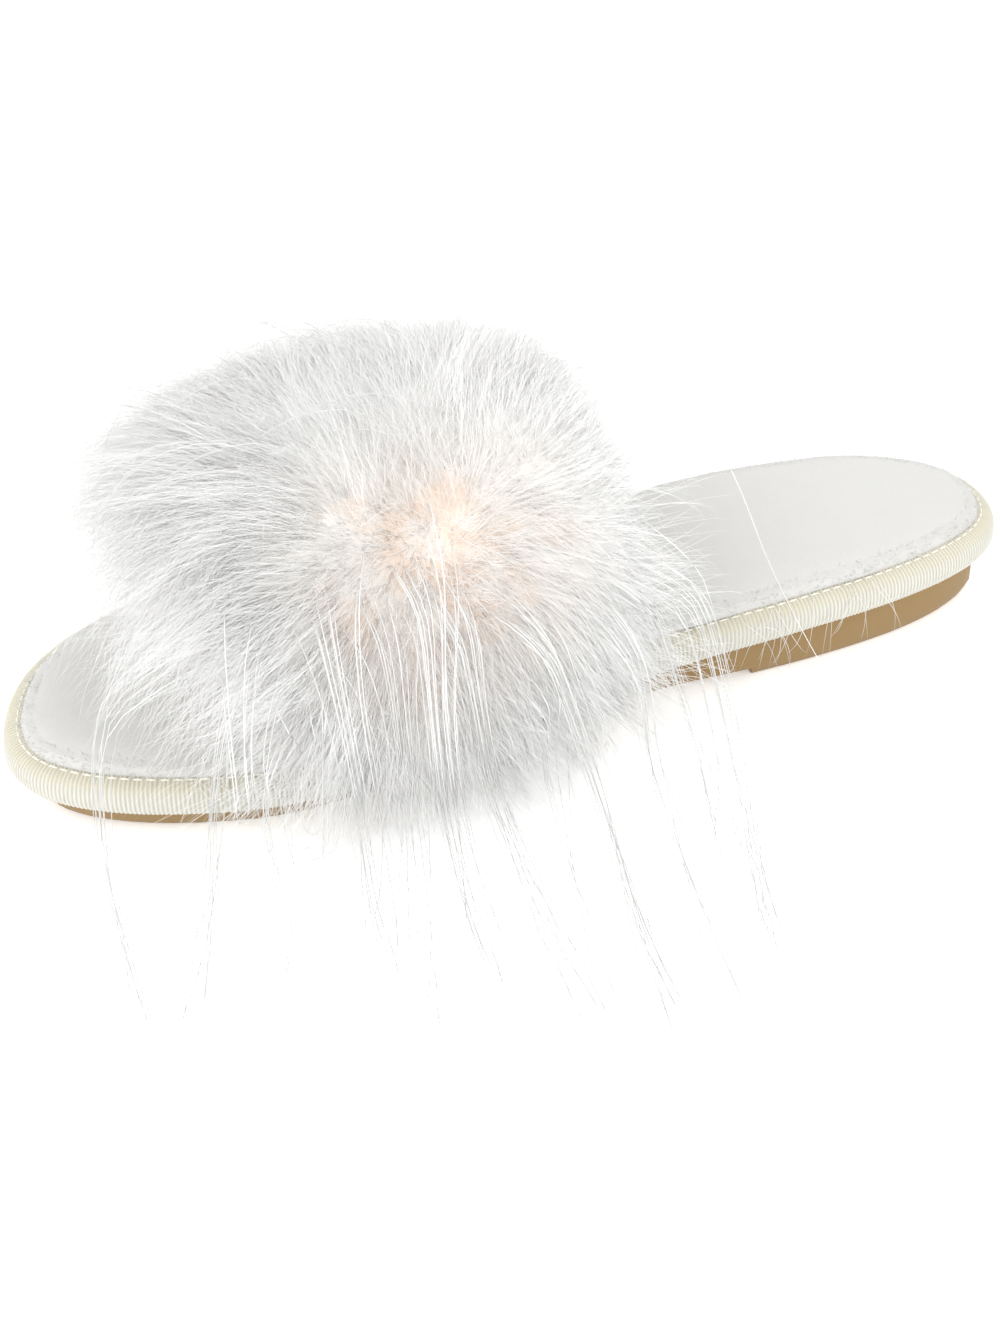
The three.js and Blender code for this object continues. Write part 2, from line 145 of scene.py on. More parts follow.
# %% [markdown]
# ## Shader maths
#
# A material's pattern is easier to read as a sum or a product than as a chain of nodes. Wire wraps the socket
# that a value comes out of, and each sign in an expression adds its Math node. Finish is a material that
# hands out wires: one method makes any other node, from its type, its settings and its inputs.

# %% Wire and Finish


class Wire:
    """A value in a material. Signs between wires and numbers add Math nodes."""

    def __init__(self, finish, socket):
        self.finish = finish
        self.socket = socket

    def math(self, operation, *others):
        inputs = dict(enumerate((self, *others)))
        return self.finish.node("ShaderNodeMath", {"operation": operation}, inputs)

    def __add__(self, other):
        return self.math("ADD", other)

    def __sub__(self, other):
        return self.math("SUBTRACT", other)

    def __mul__(self, other):
        return self.math("MULTIPLY", other)

    def __rsub__(self, other):
        return (self * -1).math("ADD", other)

    def __pow__(self, other):
        return self.math("POWER", other)

    __radd__ = __add__
    __rmul__ = __mul__


class Finish:
    """A material on the Principled shader, with constants set straight on its sockets."""

    def __init__(self, name, colour, **constants):
        self.material = bpy.data.materials.new(name)
        self.material.use_nodes = True
        self.tree = self.material.node_tree
        self.surface = self.tree.nodes["Principled BSDF"]
        self.surface.inputs["Base Color"].default_value = (*colour, 1)
        for name_of_socket, value in constants.items():
            self.surface.inputs[name_of_socket.replace("_", " ").title()].default_value = value

    def node(self, kind, settings=None, inputs=None, output=0):
        made = self.tree.nodes.new(kind)
        for key, value in (settings or {}).items():
            setattr(made, key, value)
        for key, value in (inputs or {}).items():
            if isinstance(value, Wire):
                self.tree.links.new(value.socket, made.inputs[key])
            else:
                made.inputs[key].default_value = value
        return Wire(self, made.outputs[output])

    def feed(self, socket, wire):
        self.tree.links.new(wire.socket, self.surface.inputs[socket])

    def place(self):
        """The piece's own coordinates in metres."""
        return self.node("ShaderNodeTexCoord", output="Object")

    def noise(self, size, detail):
        """Noise from 0 to 1 whose lumps are about size across."""
        inputs = {"Vector": self.place(), "Scale": 1 / size, "Detail": detail}
        return self.node("ShaderNodeTexNoise", inputs=inputs, output="Fac")

    def uv(self, axis):
        """One axis of the piece's own map: X goes across, Y along."""
        here = self.node("ShaderNodeTexCoord", output="UV")
        return self.node("ShaderNodeSeparateXYZ", inputs={"Vector": here}, output=axis)

    def mix(self, wire, low, high):
        """A colour between low and high, which are colours or wires."""
        ends = [end if isinstance(end, Wire) else (*end, 1) for end in (low, high)]
        inputs = {"Factor": wire, 6: ends[0], 7: ends[1]}
        return self.node("ShaderNodeMix", {"data_type": "RGBA"}, inputs, output=2)

    def bump(self, height, depth):
        """Bumps whose height goes from 0 to depth."""
        inputs = {"Height": height, "Distance": depth, "Strength": 1}
        self.feed("Normal", self.node("ShaderNodeBump", inputs=inputs))

    def ramp(self, wire, low, high):
        """A smooth step from 0 where the wire is at low to 1 where it is at high."""
        inputs = {"Value": wire, "From Min": low, "From Max": high}
        return self.node("ShaderNodeMapRange", {"interpolation_type": "SMOOTHSTEP"}, inputs)


floor_paint = Finish(
    "pale_floor", (0.93, 0.93, 0.93), roughness=0.9, emission_color=(1, 1, 1, 1), emission_strength=0.35
)
floor.data.materials.append(floor_paint.material)
print("shader maths ready")

# %% [markdown]
# ## Helpers for pieces
#
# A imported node's mesh is loose triangles and is never changed. A copy of it, with its corners merged and
# its triangles paired into quads, is a good cage for a smooth piece: Subdivision Surface rounds it.

# %% Cages and pieces


def cage_of(node):
    """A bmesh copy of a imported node, merged and paired into quads."""
    bm = bmesh.new()
    bm.from_mesh(nodes[node].data)
    bmesh.ops.remove_doubles(bm, verts=bm.verts, dist=0.01 * MM)
    bmesh.ops.join_triangles(
        bm, faces=bm.faces, angle_face_threshold=math.radians(40), angle_shape_threshold=math.radians(60)
    )
    return bm


def piece_from(bm, name, finish, replaces=()):
    """Ends a bmesh as a smooth-shaded piece that rides on the slipper."""
    mesh = bpy.data.meshes.new(name)
    bm.to_mesh(mesh)
    bm.free()
    mesh.polygons.foreach_set("use_smooth", [True] * len(mesh.polygons))
    piece = bpy.data.objects.new(name, mesh)
    scene.collection.objects.link(piece)
    mesh.materials.append(finish.material)
    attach(piece, "root")
    if replaces:
        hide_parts(*replaces)
    return piece


def modify(piece, kind, **settings):
    made = piece.modifiers.new(kind.title(), kind)
    for key, value in settings.items():
        setattr(made, key, value)


def bake_modifiers(piece):
    """Turns a piece's modifiers into its mesh."""
    evaluated = piece.evaluated_get(bpy.context.evaluated_depsgraph_get())
    finished = bpy.data.meshes.new_from_object(evaluated)
    piece.modifiers.clear()
    piece.data = finished


def vertex_arrays(mesh):
    """The places and normals of a mesh's vertices."""
    found = np.empty((2, len(mesh.vertices) * 3))
    mesh.vertices.foreach_get("co", found[0])
    mesh.vertices.foreach_get("normal", found[1])
    return found.reshape(2, -1, 3)


def print_triangles(piece):
    evaluated = piece.evaluated_get(bpy.context.evaluated_depsgraph_get())
    print(piece.name, sum(len(face.vertices) - 2 for face in evaluated.data.polygons), "triangles")


# %% [markdown]
# ## The outline of the footbed
#
# The ribbon runs round the footbed, so it needs the footbed's outline as a line. A fan of upright planes
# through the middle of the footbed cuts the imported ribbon, and the outermost point of each cut is a point of
# the outline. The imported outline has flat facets, and dropping the high frequencies of the fan rounds them.

# %% Outline from the frame
ribbon_low, ribbon_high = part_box("edge_ribbon")
footbed_middle = Vector(((ribbon_low.x + ribbon_high.x) / 2, 0, 0))
FAN = 720


def edge_points(node):
    """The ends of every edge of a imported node, as two arrays."""
    bm = cage_of(node)
    pairs = np.array([[list(vertex.co) for vertex in edge.verts] for edge in bm.edges])
    bm.free()
    return pairs[:, 0], pairs[:, 1]


def outermost(node):
    """Distance and height of a node's outermost point, for each angle of the fan."""
    start, end = edge_points(node)
    found = []
    for angle in np.linspace(0, 2 * math.pi, FAN, endpoint=False):
        ahead = np.array((math.cos(angle), math.sin(angle), 0))
        aside = np.array((-math.sin(angle), math.cos(angle), 0))
        from_start = (start - footbed_middle) @ aside
        from_end = (end - footbed_middle) @ aside
        cut = from_start * from_end < 0
        share = (from_start[cut] / (from_start[cut] - from_end[cut]))[:, None]
        points = start[cut] + share * (end[cut] - start[cut]) - np.array(footbed_middle)
        best = np.argmax(points @ ahead)
        found.append((points[best] @ ahead, points[best][2]))
    return np.array(found).T


def low_pass(values, keep):
    waves = np.fft.rfft(values)
    waves[keep:] = 0
    return np.fft.irfft(waves, len(values))


reach, rim_height = outermost("edge_ribbon")
reach = low_pass(reach, 36)
rim_height = low_pass(rim_height, 12)
fan_angles = np.linspace(0, 2 * math.pi, FAN, endpoint=False)
rim = np.stack([
    footbed_middle.x + reach * np.cos(fan_angles),
    reach * np.sin(fan_angles),
    rim_height,
], axis=1)


def evenly(points, count):
    """A closed line as count points an equal distance apart."""
    closed = np.vstack([points, points[:1]])
    travelled = np.concatenate([[0], np.cumsum(np.linalg.norm(np.diff(closed, axis=0), axis=1))])
    wanted = np.linspace(0, travelled[-1], count, endpoint=False)
    return np.stack([np.interp(wanted, travelled, closed[:, k]) for k in range(3)], axis=1), travelled[-1]


_, rim_length = evenly(rim, FAN)
print("outline of the footbed:", round(rim_length / MM), "mm round")

# %% [markdown]
# ## The edge ribbon
#
# The footbed's edge is bound with grosgrain, a ribbon whose thick cross threads stand up as ribs. It turns
# from under the insole up round the edge and laps over the top, where its end is folded and sewn down. A
# grid is laid along the outline, with four columns to each rib so that every rib is a real ridge, and each
# vertex is moved to its place on the ribbon's section. The lap gathers a little where it is sewn.

# %% Ribbon finish
RIB_PITCH = 1.0 * MM
RIB_DEPTH = 0.25 * MM
RIBBON_WALL = 0.9 * MM
ribs = round(rim_length / RIB_PITCH)

ribbon_paint = Finish("cream_grosgrain", (0.9, 0.87, 0.74), roughness=0.5, sheen_weight=0.2)
rib_crown = (ribbon_paint.uv("X") * (2 * math.pi * ribs)).math("COSINE") * 0.5 + 0.5
ribbon_tone = ribbon_paint.noise(9 * MM, detail=4)
fine_threads = ribbon_paint.noise(0.3 * MM, detail=2)
cloth_colour = ribbon_paint.mix(ribbon_tone, (0.665, 0.65, 0.58), (0.7, 0.685, 0.61))
top_fold = ribbon_paint.ramp(ribbon_paint.uv("Y"), 0.48, 0.62)
cloth_colour = ribbon_paint.mix(top_fold, cloth_colour, (0.67, 0.64, 0.515))
# The darker colour between the ribs is painted shade in the rib valleys, a little lighter on the top fold.
shade_between_ribs = ribbon_paint.mix(top_fold, (0.46, 0.45, 0.395), (0.54, 0.51, 0.41))
ribbon_paint.feed("Base Color", ribbon_paint.mix(rib_crown ** 0.6, shade_between_ribs, cloth_colour))
ribbon_paint.feed("Roughness", 0.65 - top_fold * 0.2)
ribbon_paint.bump(rib_crown * 0.8 + fine_threads * 0.3, 0.15 * MM)

# %% Ribbon shape
COLUMNS_PER_RIB = 4
ribbon_columns = ribs * COLUMNS_PER_RIB
rim_line, _ = evenly(rim, ribbon_columns)
rim_ahead = np.roll(rim_line, -1, axis=0) - np.roll(rim_line, 1, axis=0)
rim_outward = np.stack([rim_ahead[:, 1], -rim_ahead[:, 0], np.zeros(ribbon_columns)], axis=1)
rim_outward /= np.linalg.norm(rim_outward, axis=1)[:, None]

# The ribbon's section from under the insole to the sewn edge on top: how far in from the outline, and how
# far above the outline's height, which is where the ribbon is widest
ribbon_section = [
    (9.0, -3.6),
    (5.0, -3.65),
    (2.3, -3.55),
    (0.9, -2.7),
    (0.15, -1.3),
    (0.0, 0.2),
    (0.1, 1.7),
    (0.55, 3.0),
    (1.4, 3.95),
    (2.5, 4.45),
    (3.4, 4.7),
    (4.2, 4.85),
    (4.85, 4.85),
    (5.15, 4.55),
]

SLACK = 0.125 * MM
PUCKER = 0.5 * MM
section = np.array(ribbon_section) * MM
bm = bmesh.new()
bm.loops.layers.uv.new("ribbon")
bmesh.ops.create_grid(bm, x_segments=ribbon_columns, y_segments=len(section) - 1, size=1, calc_uvs=True)
for vertex in bm.verts:
    column = round((vertex.co.x + 1) / 2 * ribbon_columns) % ribbon_columns
    row = round((vertex.co.y + 1) / 2 * (len(section) - 1))
    inset, height = section[row]
    ridge = math.cos(2 * math.pi * column / COLUMNS_PER_RIB)
    slack = noise.noise(Vector((column * 0.02, row * 0.3, 4))) * SLACK
    pucker = noise.noise(Vector((column * 0.06, 0, 9))) * PUCKER * max(0, row / len(section) - 0.7)
    out = -inset + 0.5 * RIB_DEPTH * ridge + slack
    up = height + pucker + slack
    if height > 3 * MM:
        up += 0.5 * RIB_DEPTH * ridge
    vertex.co = Vector(rim_line[column] + out * rim_outward[column]) + Vector((0, 0, up))
bmesh.ops.remove_doubles(bm, verts=bm.verts, dist=0.001 * MM)
bmesh.ops.recalc_face_normals(bm, faces=bm.faces)
ribbon = piece_from(bm, "ribbon_binding", ribbon_paint, replaces=["edge_ribbon"])
modify(ribbon, "SOLIDIFY", thickness=RIBBON_WALL, offset=-1)
print_triangles(ribbon)
print(ribs, "ribs round the edge")

# %% [markdown]
# ## The stitches that hold the ribbon
#
# A line of lockstitch runs along the lap, near its inner edge. One stitch is a small spindle: a short, fat
# thread that dips into the ribbon at both ends. It is shaped once and repeated along the outline.

# %% Stitches
thread_paint = Finish("thread", (0.93, 0.9, 0.8), roughness=0.5, sheen_weight=0.2)
STITCH_PITCH = 3.0 * MM
STITCH_INSET = 3.5 * MM
STITCH_HEIGHT = 4.8 * MM
STITCH_RADIUS = 0.22 * MM
STITCH_HALF_LENGTH = 1.25 * MM
STITCH_DIP = 0.25 * MM
stitch_count = round(rim_length / STITCH_PITCH)
stitch_line, _ = evenly(rim, stitch_count)
stitch_ahead = np.roll(stitch_line, -1, axis=0) - np.roll(stitch_line, 1, axis=0)

spindle = bmesh.new()
bmesh.ops.create_uvsphere(spindle, u_segments=6, v_segments=6, radius=1)
spindle.verts.index_update()
spindle_points = [vertex.co.copy() for vertex in spindle.verts]
spindle_faces = []
for face in spindle.faces:
    around = [vertex.index for vertex in face.verts]
    first = around.index(min(around))
    spindle_faces.append(around[first:] + around[:first])
spindle_faces.sort()
spindle.free()

bm = bmesh.new()
for place, ahead in zip(stitch_line, stitch_ahead):
    ahead = Vector(ahead).normalized()
    outward = Vector((ahead.y, -ahead.x, 0)).normalized()
    centre = Vector(place) - outward * STITCH_INSET + Vector((0, 0, STITCH_HEIGHT))
    turn = ahead.to_track_quat("Z", "Y").to_matrix()
    made = []
    for point in spindle_points:
        thread = Vector((point.x * STITCH_RADIUS, point.y * STITCH_RADIUS, point.z * STITCH_HALF_LENGTH))
        sunk = Vector((0, 0, STITCH_DIP * point.z**4))
        made.append(bm.verts.new(centre + turn @ thread - sunk))
    for face in spindle_faces:
        bm.faces.new([made[index] for index in face])
stitches = piece_from(bm, "ribbon_stitches", thread_paint)
print_triangles(stitches)

# %% [markdown]
# ## The outsole
#
# The sole is one rubber moulding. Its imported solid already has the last's outline, the heel step and the
# grooves, so it stays, and only gets smooth shading over merged corners and narrow rounded edges. The rubber
# is tan and satin, with a fine grain and a slightly cloudy tone.

# %% Outsole finish
rubber_paint = Finish("tan_rubber", (0.62, 0.46, 0.24), roughness=0.5)
rubber_cloud = rubber_paint.noise(14 * MM, detail=5)
rubber_grain = rubber_paint.noise(0.5 * MM, detail=2)
rubber_colour = rubber_paint.mix(rubber_cloud, (0.24, 0.145, 0.048), (0.29, 0.185, 0.066))
rubber_paint.feed("Base Color", rubber_colour)
rubber_paint.feed("Roughness", rubber_cloud * 0.2 + 0.4)
rubber_paint.bump(rubber_grain, 0.06 * MM)

outsole = nodes["outsole"]
outsole.data.materials.clear()
outsole.data.materials.append(rubber_paint.material)
outsole.data.polygons.foreach_set("use_smooth", [True] * len(outsole.data.polygons))
modify(outsole, "WELD", merge_threshold=0.01 * MM)
modify(
    outsole, "BEVEL", width=0.35 * MM, segments=2, limit_method="ANGLE",
    angle_limit=math.radians(38), harden_normals=True,
)
print_triangles(outsole)

# %% [markdown]
# ## The insole
#
# The footbed is foam under a short white plush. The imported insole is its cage. Two levels of subdivision
# round it, and slow noise gives the foam its soft unevenness. Where it stands over the ribbon it swells out
# and hides the ribbon's cut edge. Round the edge the plush is real pile, which is made further down.

# %% Insole pad
plush_paint = Finish("insole_plush", (0.93, 0.92, 0.9), roughness=0.9, sheen_weight=0.2)
plush_tone = plush_paint.noise(12 * MM, detail=4)
plush_nap = plush_paint.noise(0.7 * MM, detail=3)
plush_paint.feed("Base Color", plush_paint.mix(plush_tone, (0.61, 0.605, 0.588), (0.64, 0.635, 0.618)))
plush_paint.bump(plush_nap, 0.1 * MM)

LAP_COVER = 1.6 * MM
PAD_DRAW = 0.25 * MM
PAD_SWELL = 0.6 * MM
bm = cage_of("insole")
bmesh.ops.recalc_face_normals(bm, faces=bm.faces)
insole = piece_from(bm, "insole_pad", plush_paint, replaces=["insole"])
modify(insole, "SUBSURF", levels=2, render_levels=2)
bake_modifiers(insole)
places, normals = vertex_arrays(insole.data)
swell = np.array([
    0.5 * noise.noise(Vector(place) / (16 * MM)) + 0.3 * noise.noise(Vector(place) / (5 * MM))
    for place in places
])
places -= normals * (PAD_DRAW - PAD_SWELL * swell[:, None])
ribbon_tree = BVHTree.FromObject(ribbon, bpy.context.evaluated_depsgraph_get())
for index, place in enumerate(places):
    on_ribbon, _, _, gap = ribbon_tree.find_nearest(Vector(place))
    if gap < 3 * MM and place[2] > on_ribbon.z + 0.1 * MM:
        places[index] += normals[index] * (1, 1, 0.2) * LAP_COVER
insole.data.vertices.foreach_set("co", places.reshape(-1))
insole.data.polygons.foreach_set("use_smooth", [True] * len(insole.data.polygons))
print_triangles(insole)

# %% [markdown]
# ## The band upper
#
# Under the fur there is a hollow band: a stiff backing with a soft fleece lining. It shows only from the
# toe, from the heel and through the fur's edge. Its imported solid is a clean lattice, and two levels of
# subdivision round it.

# %% Band
lining_paint = Finish("band_lining", (0.93, 0.91, 0.87), roughness=0.85, sheen_weight=0.3)
lining_nap = lining_paint.noise(0.9 * MM, detail=4)
lining_tone = lining_paint.noise(11 * MM, detail=3)
lining_paint.feed("Base Color", lining_paint.mix(lining_tone, (0.88, 0.86, 0.82), (0.94, 0.93, 0.9)))
lining_paint.bump(lining_nap, 0.35 * MM)

bm = cage_of("upper_band")
bmesh.ops.recalc_face_normals(bm, faces=bm.faces)
band = piece_from(bm, "band_shell", lining_paint, replaces=["upper_band"])
modify(band, "SUBSURF", levels=2, render_levels=2)
bake_modifiers(band)
print_triangles(band)

# %% [markdown]
# ## The matted underfur
#
# Deep fur is dense near its roots and loose outside. The dense part is a closed form that hides the band: the
# packed fur without its locks. The solid is sampled on a grid of small cubes, and every part that is thinner
# than a few cubes goes: all cubes near the outside are taken off, and then all cubes near the rest are put
# back. The skin of the cubes is smoothed, and drawn in a little so that the loose hair can grow out of it.
#
# The hair parts at a whorl on the big-toe side. Round it, near the roots, the hair and the underfur are
# painted warm and darker in patches: painted shade of the fur's depth, which also dims the whorl where the
# lamps make it brightest.

# %% Underfur finish
fur_colour = (0.995, 0.993, 0.985)
# The underfur is painted greyer than the white hair that it stands for: painted shade of the fur's depth.
underfur_grey_shade = (0.85, 0.845, 0.83)
# Warm, darker colours: painted shade deep in the fur round the whorl.
warm_root_shade = (0.91, 0.84, 0.79)
warm_underfur_shade = (0.9, 0.74, 0.62)
whorl = np.array((0.128, 0.048, 0.062))


def warm_shade_patches(paint):
    """From 0 far from the whorl to 1 in soft patches round it, where warm painted shade goes."""
    ends = {0: paint.place(), 1: tuple(whorl)}
    from_whorl = paint.node("ShaderNodeVectorMath", {"operation": "DISTANCE"}, ends, output="Value")
    near = paint.ramp(from_whorl, 44 * MM, 12 * MM)
    patch = paint.ramp(paint.noise(11 * MM, detail=3), 0.45, 0.62)
    # Near the whorl the patches never fade out fully, so the painted shade also dims its middle.
    return near * (patch * 0.65 + 0.35)


underfur_paint = Finish("underfur", underfur_grey_shade, roughness=0.95)
patchy = underfur_paint.mix(warm_shade_patches(underfur_paint), underfur_grey_shade, warm_underfur_shade)
underfur_paint.feed("Base Color", patchy)
underfur_paint.bump(underfur_paint.noise(1.2 * MM, detail=3), 0.4 * MM)
print("whorl, mm:", (whorl / MM).round())

# %% Grids of cubes
CUBE = 3 * MM


def filled_cubes(node):
    """A grid that is true where a cube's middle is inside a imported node, and the grid's low corner."""
    bm = cage_of(node)
    tree = BVHTree.FromBMesh(bm)
    bm.free()
    low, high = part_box(node)
    low = np.array(low) - 3 * CUBE
    counts = np.ceil((np.array(high) + 3 * CUBE - low) / CUBE).astype(int)
    heights = low[2] + (np.arange(counts[2]) + 0.5) * CUBE
    inside = np.zeros(counts, bool)
    for i in range(counts[0]):
        for j in range(counts[1]):
            start = Vector((low[0] + (i + 0.503) * CUBE, low[1] + (j + 0.497) * CUBE, low[2]))
            hit = tree.ray_cast(start, Vector((0, 0, 1)))[0]
            while hit is not None:
                inside[i, j] ^= heights > hit.z
                hit = tree.ray_cast(hit + Vector((0, 0, 1e-6)), Vector((0, 0, 1)))[0]
    return inside, low


def grown(cubes, radius):
    """Fills every cube that is within radius cubes of a filled one."""
    found = cubes.copy()
    steps = range(-math.floor(radius), math.floor(radius) + 1)
    for shift in itertools.product(steps, repeat=3):
        if math.hypot(*shift) <= radius:
            found |= np.roll(cubes, shift, axis=(0, 1, 2))
    return found


def skin_of(cubes, low):
    """A bmesh of the faces between filled and empty cubes."""
    bm = bmesh.new()
    corners = {}
    for axis in range(3):
        for side in (0, 1):
            beyond = np.roll(cubes, 1 - 2 * side, axis=axis)
            for cell in np.argwhere(cubes & ~beyond):
                around = []
                for u, v in ((0, 0), (1, 0), (1, 1), (0, 1)):
                    corner = np.array(cell)
                    corner[axis] += side
                    corner[(axis + 1) % 3] += u
                    corner[(axis + 2) % 3] += v
                    key = tuple(corner)
                    if key not in corners:
                        corners[key] = bm.verts.new(low + corner * CUBE)
                    around.append(corners[key])
                bm.faces.new(around if side else around[::-1])
    return bm


# %% Underfur
UNDERFUR_DRAW = 3.5 * MM
LOCK_CUBES = 1.5
SMOOTHINGS = 14

cubes, low_corner = filled_cubes("fur")
dense = grown(~grown(~cubes, LOCK_CUBES), LOCK_CUBES)
bm = skin_of(dense, low_corner)
for _ in range(SMOOTHINGS):
    bmesh.ops.smooth_vert(
        bm, verts=bm.verts, factor=0.5, use_axis_x=True, use_axis_y=True, use_axis_z=True
    )
underfur = piece_from(bm, "fur_underlayer", underfur_paint, replaces=["fur"])
print("cubes:", cubes.sum(), "in the packed fur,", dense.sum(), "in the underfur")
places, normals = vertex_arrays(underfur.data)
band_tree = BVHTree.FromObject(band, bpy.context.evaluated_depsgraph_get())
from_band = np.array([band_tree.find_nearest(Vector(place))[3] for place in places])
outer_side = np.clip((from_band - 3 * MM) / (6 * MM), 0, 1)[:, None]
places -= normals * outer_side * UNDERFUR_DRAW
underfur.data.vertices.foreach_set("co", places.reshape(-1))
print_triangles(underfur)

# %% [markdown]
# ## Hair
#
# Hair is thousands of thin closed tubes with three sides that taper to a point. Each is laid along a line
# of points. The tubes are shaded flat, because smooth shading darkens so thin a prism. All lines of one kind
# of hair are worked out together as arrays: they leave the root along one direction, bend over to another,
# wave a little, and draw together into locks towards their tips. The map along a hair runs from 0 at the root
# to 1 at the tip, and its other axis is one random number for each hair.

# %% Hair helpers
FLOOR_CLEARANCE = 0.5 * MM
HAIR_ROOM = 12.5 * MM


def unit(vectors):
    return vectors / np.maximum(np.linalg.norm(vectors, axis=-1, keepdims=True), 1e-9)


def hair_lines(roots, outward, over, lengths, bend, wave, steps, seed):
    """Lines that leave roots outward and bend to over: an array of hairs, points, xyz."""
    chance = np.random.default_rng(seed)
    points = [roots]
    drift = unit(chance.normal(size=roots.shape))
    for step in range(steps):
        share = (step + 0.5) / steps
        turned = min(share * bend, 1)
        way = unit(outward * (1 - turned) + over * turned + drift * wave * share)
        drift = unit(drift + 0.6 * chance.normal(size=roots.shape))
        points.append(points[-1] + way * (lengths / steps)[:, None])
    return np.stack(points, axis=1)


def gather(lines, leaders, amount):
    """Draws each hair towards the line of its lock's leader, most at the tip."""
    share = np.linspace(0, 1, lines.shape[1])[None, :, None] ** 1.5
    return lines + (lines[leaders] - lines) * share * amount


def smooth_line(points, count):
    """Points along a smooth line through a few points: arrays of hairs, points, xyz."""
    before = 2 * points[:, :1] - points[:, 1:2]
    after = 2 * points[:, -1:] - points[:, -2:-1]
    padded = np.concatenate([before, points, after], axis=1)
    spans = points.shape[1] - 1
    found = []
    for place in np.linspace(0, spans, count):
        k = min(int(place), spans - 1)
        t = place - k
        p0, p1, p2, p3 = (padded[:, k + shift] for shift in range(4))
        slope = p2 - p0
        curve = 2 * p0 - 5 * p1 + 4 * p2 - p3
        twist = 3 * p1 - p0 - 3 * p2 + p3
        found.append(0.5 * (2 * p1 + slope * t + curve * t**2 + twist * t**3))
    return np.stack(found, axis=1)


def kept_in_room(lines):
    """Shortens each hair that would go further than HAIR_ROOM past the box of the solids."""
    roots = lines[:, :1]
    reach = lines - roots
    room = np.where(reach < 0, np.array(cad_low) - HAIR_ROOM, np.array(cad_high) + HAIR_ROOM) - roots
    past = (reach / room).max(axis=(1, 2))
    return roots + reach / np.maximum(past, 1)[:, None, None]


def grow(name, lines, widths, finish, seed, taper=0.85):
    """One piece of closed three-sided tubes along the lines."""
    count, points, _ = lines.shape
    lines = kept_in_room(lines)
    lines[..., 2] = np.maximum(lines[..., 2], FLOOR_CLEARANCE)
    ahead = unit(np.gradient(lines, axis=1))
    sideways = unit(np.cross(ahead, np.array((0.31, 0.17, 0.93))))
    upward = np.cross(sideways, ahead)
    share = np.linspace(0, 1, points)
    radius = 0.5 * widths[:, None] * (1 - taper * share[None, :] ** 1.6)
    rings = []
    for corner in range(3):
        angle = 2 * math.pi * corner / 3
        side = math.cos(angle) * sideways + math.sin(angle) * upward
        rings.append(lines[:, :-1] + side[:, :-1] * radius[:, :-1, None])
    tube = np.stack(rings, axis=2).reshape(count, -1, 3)
    vertices = np.concatenate([tube, lines[:, -1:]], axis=1)
    per_hair = vertices.shape[1]
    faces = []
    for ring in range(points - 2):
        for corner in range(3):
            a = ring * 3 + corner
            b = ring * 3 + (corner + 1) % 3
            faces += [(a, b, b + 3), (a, b + 3, a + 3)]
    last = (points - 2) * 3
    faces += [(last + corner, last + (corner + 1) % 3, per_hair - 1) for corner in range(3)]
    faces.append((2, 1, 0))
    faces = np.array(faces)
    all_faces = (faces[None] + per_hair * np.arange(count)[:, None, None]).reshape(-1)
    mesh = bpy.data.meshes.new(name)
    mesh.vertices.add(count * per_hair)
    mesh.vertices.foreach_set("co", vertices.reshape(-1).astype(np.float32))
    mesh.loops.add(len(all_faces))
    mesh.loops.foreach_set("vertex_index", all_faces.astype(np.int32))
    mesh.polygons.add(len(all_faces) // 3)
    mesh.polygons.foreach_set("loop_start", np.arange(0, len(all_faces), 3, dtype=np.int32))
    along = np.append(np.repeat(share[:-1], 3), 1.0)
    chance = np.random.default_rng(seed).random(count)
    uv = np.stack([
        np.repeat(chance, per_hair)[all_faces],
        np.tile(along, count)[all_faces],
    ], axis=1)
    mesh.uv_layers.new(name="hair").data.foreach_set("uv", uv.reshape(-1).astype(np.float32))
    mesh.update(calc_edges=True)
    mesh.materials.append(finish.material)
    piece = bpy.data.objects.new(name, mesh)
    scene.collection.objects.link(piece)
    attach(piece, "root")
    print(name, count, "hairs,", len(all_faces) // 3, "triangles")


def hair_finish(name, colour, spread, patches=None, tip=None, **constants):
    """Hair a little different from hair to hair. A tip's colour, if given, is painted shade towards the tip,
    and patches, if given, put warm painted shade near the roots.
    """
    paint = Finish(name, colour, **constants)
    shade = tuple(channel * (1 - spread) for channel in colour)
    tone = paint.mix(paint.uv("X"), colour, shade)
    if tip:
        tone = paint.mix(paint.uv("Y") ** 2, tone, tip)
    if patches:
        # Near the roots the patches put warm painted shade on the hair.
        near_root = paint.ramp(paint.uv("Y"), 1.3, 0.2)
        tone = paint.mix(patches(paint) * near_root, tone, warm_root_shade)
    paint.feed("Base Color", tone)
    return paint


def points_on(mesh, count, seed, wanted=lambda centres, normals: np.ones(len(centres), bool)):
    """Random points on a mesh's wanted faces, evenly by area, with the normals there."""
    chance = np.random.default_rng(seed)
    mesh.calc_loop_triangles()
    corners = np.empty(len(mesh.loop_triangles) * 3, np.int32)
    mesh.loop_triangles.foreach_get("vertices", corners)
    corners = corners.reshape(-1, 3)
    places, normals = vertex_arrays(mesh)
    a, b, c = (places[corners[:, k]] for k in range(3))
    keep = wanted((a + b + c) / 3, unit(np.cross(b - a, c - a)))
    area = np.linalg.norm(np.cross(b - a, c - a), axis=1) * keep
    picked = chance.choice(len(corners), count, p=area / area.sum())
    u, v = np.sqrt(chance.random(count)), chance.random(count)
    weights = np.stack([1 - u, u * (1 - v), u * v], axis=1)[:, :, None]
    return (
        (places[corners[picked]] * weights).sum(axis=1),
        unit((normals[corners[picked]] * weights).sum(axis=1)),
    )


